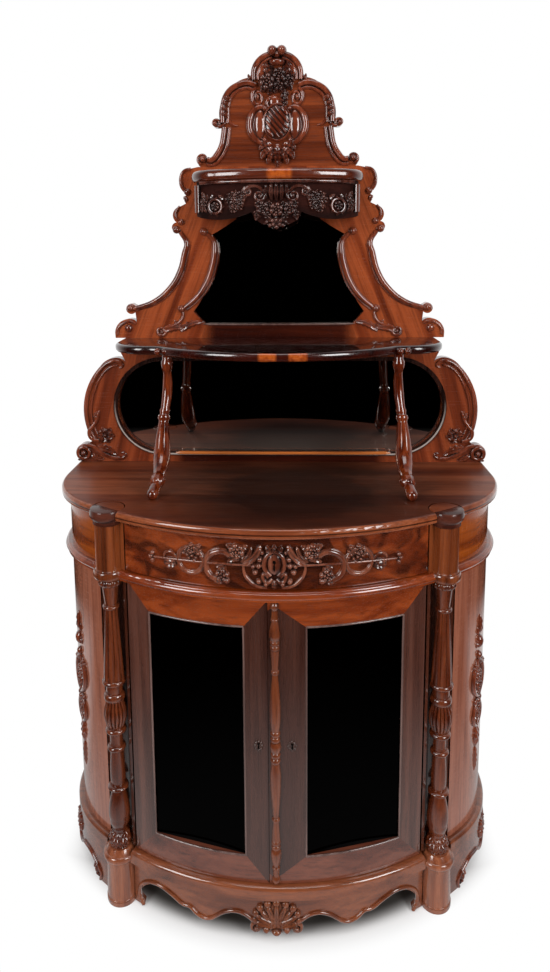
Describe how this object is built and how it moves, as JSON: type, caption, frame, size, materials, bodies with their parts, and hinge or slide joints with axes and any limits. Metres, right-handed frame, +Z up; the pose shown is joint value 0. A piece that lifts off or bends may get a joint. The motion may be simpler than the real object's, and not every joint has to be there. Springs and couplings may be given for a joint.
{
  "type": "etagere cabinet",
  "caption": "Carved rosewood etagere: bow-fronted cabinet with glazed doors and a frieze drawer, below a mirrored back with open shelves and a carved crest.",
  "frame": {"origin": "on the floor, under the middle of the outline", "axes": "+X to the right seen from the front, the front faces -Y, +Z up"},
  "size_m": [1.148, 0.5199, 2.137],
  "materials": {
    "rosewood": "french polished",
    "inner_wood": "plain planed",
    "pane": "clear, dark inside",
    "mirror_plate": "silvered",
    "brass": "aged"
  },
  "bodies": {
    "cabinet": {"plinth_block_left": "rosewood", "plinth_block_right": "rosewood", "front_apron": "rosewood", "side_apron_left": "rosewood", "side_apron_right": "rosewood", "apron_shell": "rosewood", "base_moulding": "rosewood", "rear_feet": "inner_wood", "bottom_board": "inner_wood", "side_panel_left": "rosewood", "side_panel_right": "rosewood", "corner_post_left": "rosewood", "corner_post_right": "rosewood", "cabinet_back": "inner_wood", "column_left": "rosewood", "column_right": "rosewood", "frieze_block_left": "rosewood", "frieze_block_right": "rosewood", "frieze_moulding": "rosewood", "drawer_rail": "rosewood", "drawer_runners": "inner_wood", "shelf_bearers": "inner_wood", "interior_shelf": "inner_wood", "cabinet_top": "rosewood", "column_caps": "rosewood", "side_carvings": "rosewood", "pivot_pins": "brass", "lower_back_panel": "rosewood", "lower_mirror": "mirror_plate", "lower_mirror_bead": "rosewood", "middle_shelf": "rosewood", "shelf_support_left": "rosewood", "shelf_support_right": "rosewood", "upper_back_panel": "rosewood", "upper_mirror": "mirror_plate", "mirror_backs": "inner_wood", "scroll_mouldings": "rosewood", "top_shelf": "rosewood", "top_shelf_apron": "rosewood", "crest_board": "rosewood", "crest_carving": "rosewood"},
    "drawer": {"drawer_front": "rosewood", "drawer_box": "inner_wood", "drawer_bottom": "inner_wood", "frieze_carving": "rosewood", "drawer_lock": "brass"},
    "drawer_bolt": {"drawer_lock_bolt": "brass"},
    "left_door": {"left_door_frame": "rosewood", "left_door_glass": "pane", "left_door_beads": "rosewood", "left_door_escutcheon": "brass", "left_bolt_case": "brass"},
    "left_bolt": {"left_door_bolt": "brass"},
    "right_door": {"right_door_frame": "rosewood", "right_door_glass": "pane", "right_door_beads": "rosewood", "right_door_escutcheon": "brass", "meeting_spindle": "rosewood", "right_door_lock": "brass"},
    "right_bolt": {"right_lock_bolt": "brass"}
  },
  "joints": [
    {"name": "drawer_slide", "type": "slide", "parent": "cabinet", "child": "drawer", "axis": [0, -1, 0], "range_m": [0, 0.26]},
    {"name": "drawer_bolt_slide", "type": "slide", "parent": "drawer", "child": "drawer_bolt", "axis": [0, 0, 1], "range_m": [0, 0.008]},
    {"name": "left_door_hinge", "type": "hinge", "parent": "cabinet", "child": "left_door", "pos_m": [-0.337, -0.14055, 0.5], "axis": [0, 0, -1], "range_deg": [0, 90]},
    {"name": "left_bolt_slide", "type": "slide", "parent": "left_door", "child": "left_bolt", "axis": [0, 0, 1], "range_m": [0, 0.014]},
    {"name": "right_door_hinge", "type": "hinge", "parent": "cabinet", "child": "right_door", "pos_m": [0.337, -0.14055, 0.5], "axis": [0, 0, 1], "range_deg": [0, 90]},
    {"name": "right_bolt_slide", "type": "slide", "parent": "right_door", "child": "right_bolt", "axis": [-1, 0, 0], "range_m": [0, 0.008]}
  ]
}
